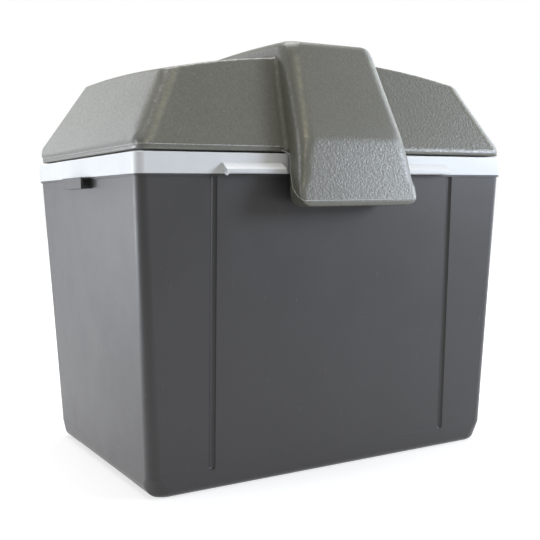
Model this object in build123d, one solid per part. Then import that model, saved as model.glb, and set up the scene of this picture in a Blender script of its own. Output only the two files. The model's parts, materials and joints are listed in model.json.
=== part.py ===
from build123d import *
from math import atan2, cos, degrees, hypot, sin
import os

# Outer body: a tapered tub, front towards -Y, standing on Z = 0
body_height = 290.9
base_width = 393.5
base_depth = 266.8
mouth_width = 416.5
mouth_depth = 297.7
mouth_corner = 10.0
foot_corner = 26.0
foot_height = 20.0
wall_corner = 12.0
base_rounding = 8.0
side_rounding = 14.0
shell_wall = 3.0
lip_height = 2.0
lip_reach = 1.3
groove_offset = 135.8
groove_width = 7.0
groove_depth = 2.2
groove_end = 19.5
relief_height = 5.5
relief_half_length = 82.0
relief_reach = 26.0

# Insulation and liner inside the body
side_insulation = 22.0
floor_insulation = 20.0
liner_wall = 2.0
liner_corner = 16.0
liner_floor_rounding = 12.0
liner_flange = 12.0

# White rim collar on top of the body, with its front ledges and catch lip
collar_width = 420.0
collar_depth = 301.2
collar_height = 18.8
collar_corner = 9.0
collar_wall = 3.0
collar_plate = 3.0
collar_rounding = 1.2
ledge_start = 67.0
ledge_end = 128.2
ledge_reach = 9.0
ledge_low = 0.5
ledge_front_height = 3.4
ledge_rise = 6.2
catch_width = 40.0
catch_reach = 2.5
catch_low = 2.1
catch_height = 3.5
catch_bevel = 1.05

# Strap lugs below the collar on the short sides
lug_length = 60.0
lug_reach = 8.5
lug_height = 10.7
lug_wall = 2.2
lug_hole_gap = 0.1

# Lid: a low band, leaning faces, a rear overhang and an arched roof
hem_gap = 1.1
band_height = 5.2
lid_half_width = 208.0
lid_rear = 147.0
lid_corner = 12.0
side_lean = 0.575
side_rise = 4.0
front_lean = 0.385
rear_lean = 0.689
overhang_rise = 12.0
overhang_reach = 18.0
roof_crown = 413.3
roof_crown_y = 110.0
roof_across_radius = 758.0
roof_along_radius = 2703.0
lid_wall = 3.0

# Hump that runs over the lid and hangs down in front as a flap
hump_top = 417.0
hump_crown = 420.1
hump_crown_y = -10.0
hump_along_radius = 2080.0
hump_top_half = 51.2
crease_half = 60.9
flap_half = 67.5
hump_top_front = 132.3
crease_front = 174.1
flap_front = 184.4
crease_height = 323.5
flap_bottom = 260.5
hump_rear_step = 2.0
hump_corner = 10.0
hump_rounding = 9.0
flap_corner = 4.0
flap_edge_rounding = 3.5
flap_side_rounding = 12.0
inner_rounding_share = 0.76
flap_gap_top = 2.9
flap_gap_bottom = 12.4

# Inner pan of the lid, its plug, its seal and its screws
pan_thickness = 2.6
pan_recess = 2.6
pan_clearance = 0.3
plug_clearance = 5.0
plug_depth = 11.7
plug_corner = 14.0
gasket_inset = 16.0
gasket_width = 8.0
seal_gap = 0.3
boss_radius = 4.0
pan_screw_inset = 6.0
pan_screw_spread_x = 100.0
pan_screw_spread_y = 70.0

# Hinges under the rear overhang
hinge_offset = 120.0
hinge_width = 50.0
hinge_axis_back = 1.6
hinge_axis_rise = 4.4
knuckle_radius = 4.0
knuckle_gap = 0.5
pin_radius = 2.0
pin_clearance = 0.05
leaf_thickness = 1.5
body_leaf_height = 16.0
body_leaf_rise = 2.0
body_screw_drop = 1.5
lid_leaf_length = 13.0
lid_screw_shift = 1.0
hinge_screw_spread = 16.0
hinge_boss_depth = 7.0

# Fasteners
screw_radius = 1.6
screw_head_radius = 3.2
screw_head_height = 1.8
screw_length = 9.0
screw_play = 0.05
hole_spare = 1.0

# How far a cutting solid runs past the face it cuts
cut_spare = 1.0

# Cooling module in the hump: sinks, tile, motor and two fans on one shaft
module_y = 12.0
sink_width = 94.0
sink_length = 126.0
sink_plate = 4.0
fin_field = 92.0
fin_count = 15
fin_thickness = 1.6
cold_fin_height = 14.0
hot_fin_height = 20.0
module_core = 30.0
tile_size = 40.0
tile_thickness = 4.0
tile_rows = 6
tile_join = 0.2
tile_pocket = 41.0
insulator_play = 0.2
tile_offset = 32.0
cold_sink_rise = 2.0
well_clearance = 3.0
shaft_radius = 1.5
shaft_hole_radius = 5.0
fan_radius = 40.0
fan_height = 9.0
fan_hub_radius = 11.0
fan_hub_rounding = 1.5
fan_gap = 2.5
blade_count = 7
blade_chord = 15.0
blade_thickness = 1.4
blade_pitch = 32.0
blade_root = 1.0
motor_radius = 17.0
motor_height = 18.0
motor_rounding = 2.0
motor_boss_radius = 4.5
motor_end_wall = 3.0
motor_terminal = 3.0
bracket_thickness = 2.0
bracket_ring_radius = 21.0
bracket_leg_radius = 3.0
bracket_leg_offset = 22.0
clamp_offset_x = 38.0
clamp_offset_y = 55.0
clamp_radius = 2.0
clamp_head_radius = 3.6
clamp_head_height = 3.0

# Fan guard below the plug
guard_size = 112.0
guard_corner = 12.0
guard_depth = 15.5
guard_wall = 2.0
guard_slot = 4.0
guard_pitch = 7.0
guard_slot_rows = 11
guard_rim = 8.0

# Vent grille on the hump's rear face and power inlet beside it
grille_width = 82.0
grille_height = 56.0
grille_rim = 5.0
grille_plate = 1.6
grille_slots = 8
grille_slot_height = 3.4
grille_slot_pitch = 5.6
grille_screw_inset = 6.0
grille_screw_length = 6.6
inlet_offset = 80.0
inlet_drop = 14.0
inlet_radius = 9.0
inlet_flange = 13.0
inlet_flange_thickness = 2.0
inlet_flange_rounding = 0.8
inlet_depth = 15.0
inlet_recess = 11.0
inlet_socket_radius = 7.0
inlet_pin_length = 8.0
inlet_pin_radius = 1.5
inlet_pin_offset = 3.4
cable_radius = 2.2
cable_play = 0.3
cable_bend = 14.0
cable_lead = 30.0
cable_turn_out = 34.0
cable_turn_forward = 6.0
cable_turn_drop = 22.0
cable_level_run = 20.0

# Spring clip behind the flap
clip_width = 24.0
clip_length = 34.0
clip_start = 9.0
clip_thickness = 0.8
clip_nose = 2.8
clip_nose_at = 20.5
clip_nose_half = 4.5
clip_nose_flat = 1.0
clip_nose_back_flat = 1.3
clip_foot_shift = 0.4
clip_screw_at = 5.0
clip_screw_spread = 14.0
clip_screw_length = 5.0

collar_top = body_height + collar_height
hem = collar_top + hem_gap
flash = hem + band_height
plate_underside = collar_top - collar_plate
liner_inset = shell_wall + side_insulation
liner_floor = shell_wall + floor_insulation
pan_low = hem + pan_recess
pan_high = pan_low + pan_thickness
plug_low = pan_low - plug_depth
tray_top = plug_low + pan_thickness
overhang_height = flash + overhang_rise
overhang_rear = lid_rear + overhang_reach
lid_front = collar_depth / 2
hole_radius = screw_radius + screw_play


def outline_width(z):
    return base_width + (mouth_width - base_width) * z / body_height


def outline_depth(z):
    return base_depth + (mouth_depth - base_depth) * z / body_height


def body_form(inset, low, high, corner):
    """The tapered outline of the body between two heights, moved in by inset."""
    sections = [
        Plane.XY.offset(z)
        * RectangleRounded(outline_width(z) - 2 * inset, outline_depth(z) - 2 * inset, corner)
        for z in (low, high)
    ]
    return loft(sections)


def tub_form(inset):
    """The tub's outline moved in by inset, with its foot rounded most at the corners."""
    levels = [
        (inset, foot_corner - inset),
        (foot_height, wall_corner - inset),
        (body_height, mouth_corner - inset),
    ]
    sections = [
        Plane.XY.offset(z)
        * RectangleRounded(outline_width(z) - 2 * inset, outline_depth(z) - 2 * inset, corner)
        for z, corner in levels
    ]
    tub = loft(sections[:2]) + loft(sections[1:])
    tub = fillet(bottom_edges(tub), base_rounding - inset)
    half_base = outline_width(inset) / 2 - inset
    half_mouth = mouth_width / 2 - inset
    front_view = Plane.XZ * Polygon(
        (-half_base, inset), (half_base, inset), (half_mouth, body_height), (-half_mouth, body_height),
        align=None,
    )
    feet = front_view.vertices().sort_by(Axis.Z)[:2]
    return tub & extrude(fillet(feet, side_rounding - inset), mouth_depth, both=True)


def rounded_block(width, depth, corner, low, high):
    return extrude(Plane.XY.offset(low) * RectangleRounded(width, depth, corner), high - low)


def bottom_edges(solid):
    return solid.faces().sort_by(Axis.Z)[0].edges()


def top_edges(solid):
    return solid.faces().sort_by(Axis.Z)[-1].edges()


def cylinder_between(x, y, low, high, radius):
    return Pos(x, y, low) * extrude(Circle(radius), high - low)


def prism_x(points, low, high):
    """A profile given in Y and Z, stretched along X."""
    return extrude(Plane.YZ.offset(low) * Polygon(*points, align=None), high - low, dir=(1, 0, 0))


def mirrored(solid):
    return [solid, mirror(solid, Plane.YZ)]


def front_face_plane():
    """The leaning front wall: X across, Y up the wall, Z outwards."""
    lean = atan2((mouth_depth - base_depth) / 2, body_height)
    return Plane(
        origin=(0, -base_depth / 2, 0), x_dir=(1, 0, 0), z_dir=(0, -cos(lean), -sin(lean))
    )


def groove_tool(spare):
    """Two upright half-round channels in the front wall, from the lip to a round lower end."""
    radius = (groove_width**2 / 4 + groove_depth**2) / (2 * groove_depth)
    bar = Rot(-90, 0, 0) * extrude(Circle(radius + spare), body_height) + Sphere(radius + spare)
    start = groove_end + groove_width / 2
    tools = [
        front_face_plane() * Pos(side * groove_offset, start, radius - groove_depth) * bar
        for side in (-1, 1)
    ]
    below_lip = Pos(0, 0, (body_height - lip_height) / 2) * Box(
        2 * collar_width, 2 * collar_depth, body_height - lip_height
    )
    return [tool & below_lip for tool in tools]


def relief_tool(extra):
    """The raised middle of the underside at both short sides."""
    half = relief_half_length + extra
    height = relief_height + extra
    profile = [(-half - height, 0), (half + height, 0), (half, height), (-half, height)]
    reach = base_width / 2 - relief_reach - extra
    return [
        prism_x(profile, reach, collar_width),
        prism_x(profile, -collar_width, -reach),
    ]


def lug(side):
    """A flat loop on the short side, open towards front and back."""
    outer = collar_width / 2 + lug_reach
    inner = outline_width(body_height - lug_height) / 2 - shell_wall / 2
    middle = (outer + inner) / 2
    block = Pos(side * middle, 0, body_height - lug_height / 2) * Box(
        outer - inner, lug_length, lug_height
    )
    hole_low = body_height - lug_height + lug_wall
    hole_high = body_height - lip_height
    hole_inner = mouth_width / 2 + lug_hole_gap
    hole_outer = outer - lug_wall
    hole = Pos(side * (hole_inner + hole_outer) / 2, 0, (hole_low + hole_high) / 2) * Box(
        hole_outer - hole_inner, 2 * lug_length, hole_high - hole_low
    )
    return block, hole


def make_outer_shell():
    body = tub_form(0)
    lip = rounded_block(
        mouth_width + 2 * lip_reach,
        mouth_depth + 2 * lip_reach,
        mouth_corner,
        body_height - lip_height,
        body_height,
    )
    body = body + lip
    loops = [lug(side) for side in (-1, 1)]
    for block, hole in loops:
        body = body + block
    shell = body - body_cavity()
    for tool in groove_tool(0):
        shell = shell - tool
    for tool in relief_tool(0):
        shell = shell - tool
    for block, hole in loops:
        shell = shell - hole
    return shell


def body_cavity():
    """The space inside the outer shell, with the backs of its grooves and reliefs left in."""
    cavity = tub_form(shell_wall)
    for tool in groove_tool(shell_wall):
        cavity = cavity - tool
    for tool in relief_tool(shell_wall):
        cavity = cavity - tool
    return cavity


def liner_block():
    block = body_form(liner_inset, liner_floor, plate_underside, liner_corner + liner_wall)
    return fillet(bottom_edges(block), liner_floor_rounding + liner_wall)


def liner_rim():
    return rounded_block(
        outline_width(plate_underside) - 2 * liner_inset + 2 * liner_flange,
        outline_depth(plate_underside) - 2 * liner_inset + 2 * liner_flange,
        liner_corner,
        plate_underside - liner_wall,
        plate_underside,
    )


def mouth_opening(low, high):
    return body_form(liner_inset + liner_wall, low, high, liner_corner)


def make_inner_liner():
    hollow = mouth_opening(liner_floor + liner_wall, plate_underside)
    hollow = fillet(bottom_edges(hollow), liner_floor_rounding)
    return liner_block() + liner_rim() - hollow


def collar_hollow(high):
    return rounded_block(
        collar_width - 2 * collar_wall,
        collar_depth - 2 * collar_wall,
        collar_corner - collar_wall,
        body_height,
        high,
    )


def hinge_centres():
    return [-hinge_offset, hinge_offset]


def collar_bosses():
    """Solid backs inside the collar for the hinge screws."""
    depth = collar_wall + hinge_boss_depth
    low = body_height
    high = plate_underside - liner_wall
    return [
        Pos(x, collar_depth / 2 - depth / 2, (low + high) / 2)
        * Box(hinge_width, depth, high - low)
        for x in hinge_centres()
    ]


def make_ledge():
    """A wedge on the collar's front beside the flap, with a sloping top."""
    front = -collar_depth / 2
    low = body_height + ledge_low
    top = low + ledge_front_height + ledge_rise
    profile = [
        (front + collar_wall / 2, low),
        (front - ledge_reach, low),
        (front - ledge_reach, low + ledge_front_height),
        (front, top),
        (front + collar_wall / 2, top),
    ]
    return prism_x(profile, ledge_start, ledge_end)


def make_catch_lip():
    front = -collar_depth / 2
    low = body_height + catch_low
    profile = [
        (front + collar_wall / 2, low),
        (front - catch_reach, low + catch_bevel),
        (front - catch_reach, low + catch_height - catch_bevel),
        (front + collar_wall / 2, low + catch_height),
    ]
    return prism_x(profile, -catch_width / 2, catch_width / 2)


def make_rim_collar():
    block = rounded_block(collar_width, collar_depth, collar_corner, body_height, collar_top)
    block = fillet(top_edges(block), collar_rounding)
    collar = block - collar_hollow(plate_underside) - mouth_opening(body_height, collar_top)
    for boss in collar_bosses():
        collar = collar + boss
    for piece in mirrored(make_ledge()) + [make_catch_lip()]:
        collar = collar + piece
    for hole in body_screw_holes(hole_radius):
        collar = collar - hole
    return collar


def make_body_foam():
    foam = body_cavity() + collar_hollow(plate_underside - liner_wall)
    foam = foam - liner_block() - liner_rim()
    for boss in collar_bosses():
        foam = foam - boss
    return foam


def section(z, half_width, front, rear, corner):
    """One level of the lid: a rounded rectangle from front to rear."""
    return (
        Plane.XY.offset(z)
        * Pos(0, (front + rear) / 2)
        * RectangleRounded(2 * half_width, rear - front, corner)
    )


def stack(levels):
    """Ruled solids between one level and the next, joined."""
    sections = [section(*level) for level in levels]
    solid = None
    for lower, upper in zip(sections, sections[1:]):
        block = loft([lower, upper])
        solid = block if solid is None else solid + block
    return solid


def roof_form(inset):
    """Everything below the roof, which is arched from side to side and from front to rear."""
    across = roof_across_radius - inset
    along = roof_along_radius - inset
    crown = roof_crown - inset
    disc = Pos(0, crown - across) * Circle(across)
    window = Pos(0, crown - hump_top / 4) * Rectangle(3 * lid_half_width, hump_top / 2)
    plane = Plane(origin=(0, roof_crown_y, 0), x_dir=(1, 0, 0), z_dir=(0, -1, 0))
    face = (plane * (disc & window)).face()
    axis = Axis((0, roof_crown_y, crown - along), (1, 0, 0))
    reach = degrees((roof_crown_y + flap_front) / along)
    back = degrees(lid_front / along)
    return revolve(face.rotate(axis, reach), axis, -(reach + back))


def lid_block(inset, low):
    """The lid without its hump, each wall moved in by inset, from the height low."""
    high = roof_crown + cut_spare
    half = lid_half_width - inset
    front = -lid_front + inset
    rear = lid_rear - inset
    corner = lid_corner - inset
    levels = [
        (low, half, front, rear, corner),
        (flash, half, front, rear, corner),
        (
            flash + side_rise,
            half,
            front + front_lean * side_rise,
            rear + overhang_reach * side_rise / overhang_rise,
            corner,
        ),
        (
            overhang_height,
            half - side_lean * (overhang_rise - side_rise),
            front + front_lean * overhang_rise,
            overhang_rear - inset,
            corner,
        ),
        (
            high,
            half - side_lean * (high - flash - side_rise),
            front + front_lean * (high - flash),
            overhang_rear - inset - rear_lean * (high - overhang_height),
            corner,
        ),
    ]
    return stack(levels) & roof_form(inset)


def flap_back(z):
    """Y of the flap's inner face, clear of the collar and leaning away from the body."""
    share = (hem - z) / (hem - flap_bottom)
    return -(lid_front + flap_gap_top + (flap_gap_bottom - flap_gap_top) * share)


def hump_rear(z):
    over = max(z - overhang_height, 0)
    below = max(overhang_height - z, 0)
    return overhang_rear + hump_rear_step - rear_lean * over - overhang_reach / overhang_rise * below


def flap_front_at(z):
    """Half width and front of the flap between its bottom and the crease."""
    share = (crease_height - z) / (crease_height - flap_bottom)
    half = crease_half + (flap_half - crease_half) * share
    return half, -(crease_front + (flap_front - crease_front) * share)


def hump_crown_form(inset):
    """Everything below the hump's top, which is arched a little from front to rear."""
    radius = hump_along_radius - inset
    centre = Pos(hump_crown_y, hump_crown - hump_along_radius)
    window = Pos(hump_crown_y, hump_crown / 2) * Rectangle(2 * lid_half_width, hump_crown)
    return extrude(Plane.YZ * (centre * Circle(radius) & window), lid_half_width, both=True)


def hump_block(inset):
    """The hump and its flap, moved in by inset."""
    low = hem + inset
    high = hump_crown + cut_spare
    share = 1 if inset == 0 else inner_rounding_share
    corner = hump_corner * share
    half_low, front_low = flap_front_at(low)
    upper = stack(
        [
            (low, half_low - inset, front_low + inset, lid_rear - inset, corner),
            (
                crease_height,
                crease_half - inset,
                -crease_front + inset,
                hump_rear(crease_height) - inset,
                corner,
            ),
            (
                overhang_height,
                crease_half_at(overhang_height) - inset,
                crease_front_at(overhang_height) + inset,
                hump_rear(overhang_height) - inset,
                corner,
            ),
            (
                high,
                crease_half_at(high) - inset,
                crease_front_at(high) + inset,
                hump_rear(high) - inset,
                corner,
            ),
        ]
    )
    upper = upper & hump_crown_form(inset)
    upper = fillet(top_edges(upper), hump_rounding - inset)
    bottom = flap_bottom + inset
    half_bottom, front_bottom = flap_front_at(bottom)
    flap = stack(
        [
            (
                bottom,
                half_bottom - inset,
                front_bottom + inset,
                flap_back(bottom) - inset,
                flap_corner * share,
            ),
            (low, half_low - inset, front_low + inset, flap_back(low) - inset, flap_corner * share),
        ]
    )
    flap = fillet(bottom_edges(flap), flap_edge_rounding * share)
    front_view = Plane.XZ * Polygon(
        (-half_bottom + inset, bottom),
        (half_bottom - inset, bottom),
        (half_low - inset, low),
        (-half_low + inset, low),
        align=None,
    )
    ends = front_view.vertices().sort_by(Axis.Z)[:2]
    return upper + (flap & extrude(fillet(ends, flap_side_rounding - inset), flap_front, both=True))


def crease_share(z):
    return (z - crease_height) / (hump_top - crease_height)


def crease_half_at(z):
    return crease_half + (hump_top_half - crease_half) * crease_share(z)


def crease_front_at(z):
    return -(crease_front + (hump_top_front - crease_front) * crease_share(z))


def lid_cavity():
    """The space inside the lid's shell, open below between its bands."""
    return lid_block(lid_wall, hem - cut_spare) + hump_block(lid_wall)


def pan_screw_points():
    side = lid_half_width - lid_wall - pan_screw_inset
    front = -lid_front + lid_wall + pan_screw_inset
    rear = lid_rear - lid_wall - pan_screw_inset
    points = [(sx * side, sy * pan_screw_spread_y) for sx in (-1, 1) for sy in (-1, 1)]
    points += [(sx * pan_screw_spread_x, y) for sx in (-1, 1) for y in (front, rear)]
    return points


def lid_bosses():
    """Posts inside the lid that take the pan's screws."""
    return [cylinder_between(x, y, pan_high, roof_crown, boss_radius) for x, y in pan_screw_points()]


def overhang_plane(x):
    """The underside of the overhang: X across, Y up and backwards, Z outwards."""
    slope = atan2(overhang_rise, overhang_reach)
    return Plane(
        origin=(x, lid_rear, flash), x_dir=(-1, 0, 0), z_dir=(0, sin(slope), -cos(slope))
    )


def hinge_axis():
    return collar_depth / 2 + hinge_axis_back, collar_top + hinge_axis_rise


def hinge_bosses():
    """Solid backs inside the overhang for the hinge screws."""
    length = hypot(overhang_rise, overhang_reach)
    return [
        extrude(
            overhang_plane(x) * Pos(0, length / 2) * Rectangle(hinge_width, length),
            amount=-(lid_wall + hinge_boss_depth),
        )
        for x in hinge_centres()
    ]


def rear_plane(step):
    """The leaning rear face: X across as seen from behind, Y up the slope, Z outwards."""
    lean = atan2(rear_lean, 1)
    height = (overhang_height + hump_top) / 2
    rear = overhang_rear + step - rear_lean * (height - overhang_height)
    return Plane(origin=(0, rear, height), x_dir=(-1, 0, 0), z_dir=(0, cos(lean), sin(lean)))


def make_lid_shell():
    outer = lid_block(0, hem) + hump_block(0)
    cavity = lid_cavity()
    shell = outer - cavity
    for boss in lid_bosses() + hinge_bosses():
        shell = shell + (boss & cavity)
    for x, y in pan_screw_points():
        shell = shell - cylinder_between(x, y, pan_high, pan_high + screw_length, hole_radius)
    shell = shell - extrude(grille_window(), amount=3 * lid_wall, both=True)
    shell = shell - inlet_bore(inlet_radius + cable_play)
    holes = lid_screw_holes(hole_radius) + grille_screw_holes(hole_radius)
    for hole in holes + clip_screw_holes(hole_radius):
        shell = shell - hole
    return shell


def grille_window():
    return rear_plane(hump_rear_step) * RectangleRounded(grille_width, grille_height, grille_rim / 2)


def plug_form(inset, low):
    width = outline_width(collar_top) - 2 * (liner_inset + liner_wall + plug_clearance + inset)
    depth = outline_depth(collar_top) - 2 * (liner_inset + liner_wall + plug_clearance + inset)
    return rounded_block(width, depth, plug_corner - inset, low, pan_high)


def well_form(low, high, play):
    width = sink_width + 2 * (well_clearance + play)
    length = sink_length + 2 * (well_clearance + play)
    return Pos(0, module_y) * rounded_block(width, length, well_clearance, low, high)


def make_lid_pan():
    inset = lid_wall + pan_clearance
    outline = section(
        pan_low, lid_half_width - inset, -lid_front + inset, lid_rear - inset, lid_corner - inset
    )
    flange = extrude(outline, pan_thickness)
    pan = flange + plug_form(0, plug_low) - plug_form(pan_thickness, tray_top)
    pan = pan - well_form(plug_low, pan_high, 0)
    for x, y in pan_screw_points():
        pan = pan - cylinder_between(x, y, pan_low, pan_high, hole_radius)
    for hole in guard_screw_holes(hole_radius):
        pan = pan - hole
    return pan


def make_lid_foam():
    upper = lid_cavity()
    below = hem - 2 * cut_spare
    pan_side = section(below, lid_half_width, -lid_front + lid_wall, lid_rear, cut_spare)
    upper = upper - extrude(pan_side, pan_high - below)
    foam = upper + plug_form(pan_thickness, tray_top)
    foam = foam - well_form(tray_top, hump_crown, 0)
    for boss in lid_bosses() + hinge_bosses():
        foam = foam - boss
    foam = foam - vent_passage() - inlet_bore(inlet_radius + cable_play) - inlet_clearance()
    foam = foam - cable_form(cable_radius + cable_play)
    holes = clip_screw_holes(hole_radius) + guard_screw_holes(hole_radius)
    for hole in holes + grille_screw_holes(hole_radius):
        foam = foam - hole
    return foam.solids().sort_by(SortBy.VOLUME)[-1]


def vent_passage():
    """The air way from the well to the grille."""
    window = grille_window()
    slanted = extrude(window, amount=-(overhang_rear - module_y))
    low = cold_sink_top() + module_core
    room = Pos(0, (module_y + overhang_rear) / 2, (low + hump_crown) / 2) * Box(
        grille_width, overhang_rear - module_y, hump_crown - low
    )
    return (slanted & room) + extrude(window, amount=-2 * lid_wall)


def make_lid_gasket():
    width = collar_width - 2 * gasket_inset
    depth = collar_depth - 2 * gasket_inset
    low = collar_top + seal_gap
    outer = rounded_block(width, depth, lid_corner, low, pan_low)
    inner = rounded_block(
        width - 2 * gasket_width, depth - 2 * gasket_width, lid_corner - gasket_width, low, pan_low
    )
    return outer - inner


def screw(length, head_radius=screw_head_radius, head_height=screw_head_height, radius=screw_radius):
    """A screw with its head above Z = 0, a cross recess in it and its shank below."""
    head = fillet(top_edges(extrude(Circle(head_radius), head_height)), head_height / 3)
    slot = head_radius / 5
    cross = Rectangle(head_radius, slot) + Rectangle(slot, head_radius)
    recess = extrude(Plane.XY.offset(head_height) * cross, amount=-head_height / 2)
    return head + extrude(Circle(radius), -length) - recess


def group(solids):
    return Compound(children=list(solids))


def make_pan_screws():
    length = pan_thickness + screw_length - hole_spare
    return group(
        [
            Plane(origin=(x, y, pan_low), z_dir=(0, 0, -1)) * screw(length)
            for x, y in pan_screw_points()
        ]
    )


def barrel(x_low, x_high, radius):
    y, z = hinge_axis()
    return Plane(origin=(x_low, y, z), z_dir=(1, 0, 0)) * extrude(Circle(radius), x_high - x_low)


def knuckle_spans(x):
    """X ranges of the three knuckles of the hinge at x: body, lid, body."""
    third = hinge_width / 3
    left = x - hinge_width / 2
    return [
        (left, left + third - knuckle_gap / 2),
        (left + third + knuckle_gap / 2, left + 2 * third - knuckle_gap / 2),
        (left + 2 * third + knuckle_gap / 2, left + hinge_width),
    ]


def make_body_leaf(x):
    y, z = hinge_axis()
    rear = collar_depth / 2
    low = body_height + body_leaf_rise
    relief = z - knuckle_radius - 2 * knuckle_gap
    leaf = Pos(x, rear + leaf_thickness / 2, (low + relief) / 2) * Box(
        hinge_width, leaf_thickness, relief - low
    )
    first, middle, last = knuckle_spans(x)
    for start, end in (first, last):
        leaf = leaf + barrel(start, end, knuckle_radius)
        leaf = leaf + Pos((start + end) / 2, rear + leaf_thickness / 2, (low + z) / 2) * Box(
            end - start, leaf_thickness, z - low
        )
        leaf = leaf - barrel(start, end, pin_radius)
    for hole in body_screw_holes(hole_radius):
        leaf = leaf - hole
    return leaf


def body_screw_planes():
    z = body_height + body_leaf_rise + body_leaf_height / 2 - body_screw_drop
    y = collar_depth / 2 + leaf_thickness
    return [
        Plane(origin=(x + side * hinge_screw_spread, y, z), z_dir=(0, 1, 0))
        for x in hinge_centres()
        for side in (-1, 1)
    ]


def body_screw_holes(radius):
    depth = screw_length + hole_spare
    return [plane * extrude(Circle(radius), -depth) for plane in body_screw_planes()]


def make_lid_leaf(x):
    """A plate under the overhang with the middle knuckle wrapped round the pin."""
    plane = overhang_plane(x)
    foot = plane.to_local_coords(Vector(x, *hinge_axis()))
    start = foot.Y + knuckle_radius + 3 * knuckle_gap
    first, middle, last = knuckle_spans(x)
    plate = extrude(
        plane * Pos(0, start + lid_leaf_length / 2) * Rectangle(hinge_width, lid_leaf_length),
        leaf_thickness,
    )
    tongue = extrude(
        plane
        * Pos(0, (foot.Y + start) / 2 + knuckle_gap)
        * Rectangle(middle[1] - middle[0], start - foot.Y + 2 * knuckle_gap),
        leaf_thickness,
    )
    leaf = plate + tongue + barrel(middle[0], middle[1], knuckle_radius)
    leaf = leaf - barrel(middle[0], middle[1], pin_radius + pin_clearance)
    for hole in lid_screw_holes(hole_radius):
        leaf = leaf - hole
    return leaf


def lid_screw_planes():
    planes = []
    for x in hinge_centres():
        plane = overhang_plane(x)
        foot = plane.to_local_coords(Vector(x, *hinge_axis()))
        along = foot.Y + knuckle_radius + 3 * knuckle_gap + lid_leaf_length / 2 + lid_screw_shift
        for side in (-1, 1):
            planes.append(plane * Pos(side * hinge_screw_spread, along, leaf_thickness))
    return planes


def lid_screw_holes(radius):
    depth = screw_length + hole_spare
    return [place * extrude(Circle(radius), -depth) for place in lid_screw_planes()]


def make_hinge_pins():
    pins = []
    for x in hinge_centres():
        start = x - hinge_width / 2
        pins.append(barrel(start, start + hinge_width, pin_radius))
    return group(pins)


def cold_sink_top():
    return tray_top + cold_sink_rise + cold_fin_height + sink_plate


def hot_sink_base():
    return cold_sink_top() + module_core


def fin_field_solid(low, high):
    pitch = (sink_width - fin_thickness) / (fin_count - 1)
    first = -sink_width / 2 + fin_thickness / 2
    return [
        Pos(first + index * pitch, module_y, (low + high) / 2)
        * Box(fin_thickness, fin_field, high - low)
        for index in range(fin_count)
    ]


def sink_plate_solid(low):
    plate = Pos(0, module_y, low + sink_plate / 2) * Box(sink_width, sink_length, sink_plate)
    for x, y in clamp_points():
        plate = plate - cylinder_between(x, y, low, low + sink_plate, clamp_radius + screw_play)
    return plate


def clamp_points():
    return [
        (sx * clamp_offset_x, module_y + sy * clamp_offset_y) for sx in (-1, 1) for sy in (-1, 1)
    ]


def make_cold_sink():
    low = cold_sink_top() - sink_plate
    sink = sink_plate_solid(low)
    for fin in fin_field_solid(low - cold_fin_height, low):
        sink = sink + fin
    return sink - cylinder_between(0, module_y, low - cold_fin_height, cold_sink_top(), shaft_hole_radius)


def make_hot_sink():
    low = hot_sink_base()
    sink = sink_plate_solid(low)
    for fin in fin_field_solid(low + sink_plate, low + sink_plate + hot_fin_height):
        sink = sink + fin
    high = low + sink_plate + hot_fin_height
    return sink - cylinder_between(0, module_y, low, high, shaft_hole_radius)


def tile_place(z):
    return Pos(0, module_y - tile_offset, z)


def make_cold_block():
    height = module_core - tile_thickness
    return tile_place(cold_sink_top() + height / 2) * Box(tile_size, tile_size, height)


def make_thermoelectric_tile():
    """Two ceramic plates with rows of small pellets between them."""
    low = hot_sink_base() - tile_thickness
    plate = tile_thickness / 4
    tile = tile_place(low + plate / 2) * Box(tile_size, tile_size, plate)
    tile = tile + tile_place(hot_sink_base() - plate / 2) * Box(tile_size, tile_size, plate)
    pitch = tile_size / tile_rows
    for row in range(tile_rows):
        offset = (row - (tile_rows - 1) / 2) * pitch
        pellet_row = tile_place((low + hot_sink_base()) / 2) * Pos(offset, 0, 0)
        tile = tile + pellet_row * Box(pitch / 2, tile_size - pitch, tile_thickness / 2 + tile_join)
    return tile


def make_module_insulator():
    low = cold_sink_top()
    block = well_form(low, hot_sink_base(), -insulator_play)
    pocket = tile_place((low + hot_sink_base()) / 2) * Box(tile_pocket, tile_pocket, module_core)
    block = block - pocket - cylinder_between(0, module_y, low, hot_sink_base(), shaft_hole_radius)
    for x, y in clamp_points():
        block = block - cylinder_between(x, y, low, hot_sink_base(), clamp_radius + 4 * screw_play)
    return block


def make_clamp_screws():
    top = hot_sink_base() + sink_plate
    return group(
        [
            Pos(x, y, top)
            * screw(top - cold_sink_top() + sink_plate, clamp_head_radius, clamp_head_height, clamp_radius)
            for x, y in clamp_points()
        ]
    )


def hot_fan_low():
    return hot_sink_base() + sink_plate + hot_fin_height + fan_gap


def bracket_low():
    return hot_fan_low() + fan_height + fan_gap


def cold_fan_low():
    return plug_low - fan_gap / 2 - fan_height


def bracket_leg_points():
    return [
        (sx * bracket_leg_offset, module_y + sy * clamp_offset_y) for sx in (-1, 1) for sy in (-1, 1)
    ]


def make_motor_bracket():
    """Two arms across the fan, a ring under the motor and four legs on the hot sink."""
    low = bracket_low()
    base = hot_sink_base() + sink_plate
    bracket = cylinder_between(0, module_y, low, low + bracket_thickness, bracket_ring_radius)
    leg_reach = clamp_offset_y + bracket_leg_radius
    for sx in (-1, 1):
        arm = Pos(sx * bracket_leg_offset, module_y, low + bracket_thickness / 2) * Box(
            2 * bracket_leg_radius, 2 * leg_reach, bracket_thickness
        )
        bracket = bracket + arm
    bracket = bracket - cylinder_between(0, module_y, low, low + bracket_thickness, shaft_hole_radius)
    for x, y in bracket_leg_points():
        bracket = bracket + cylinder_between(x, y, base, low, bracket_leg_radius)
    return bracket


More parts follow.
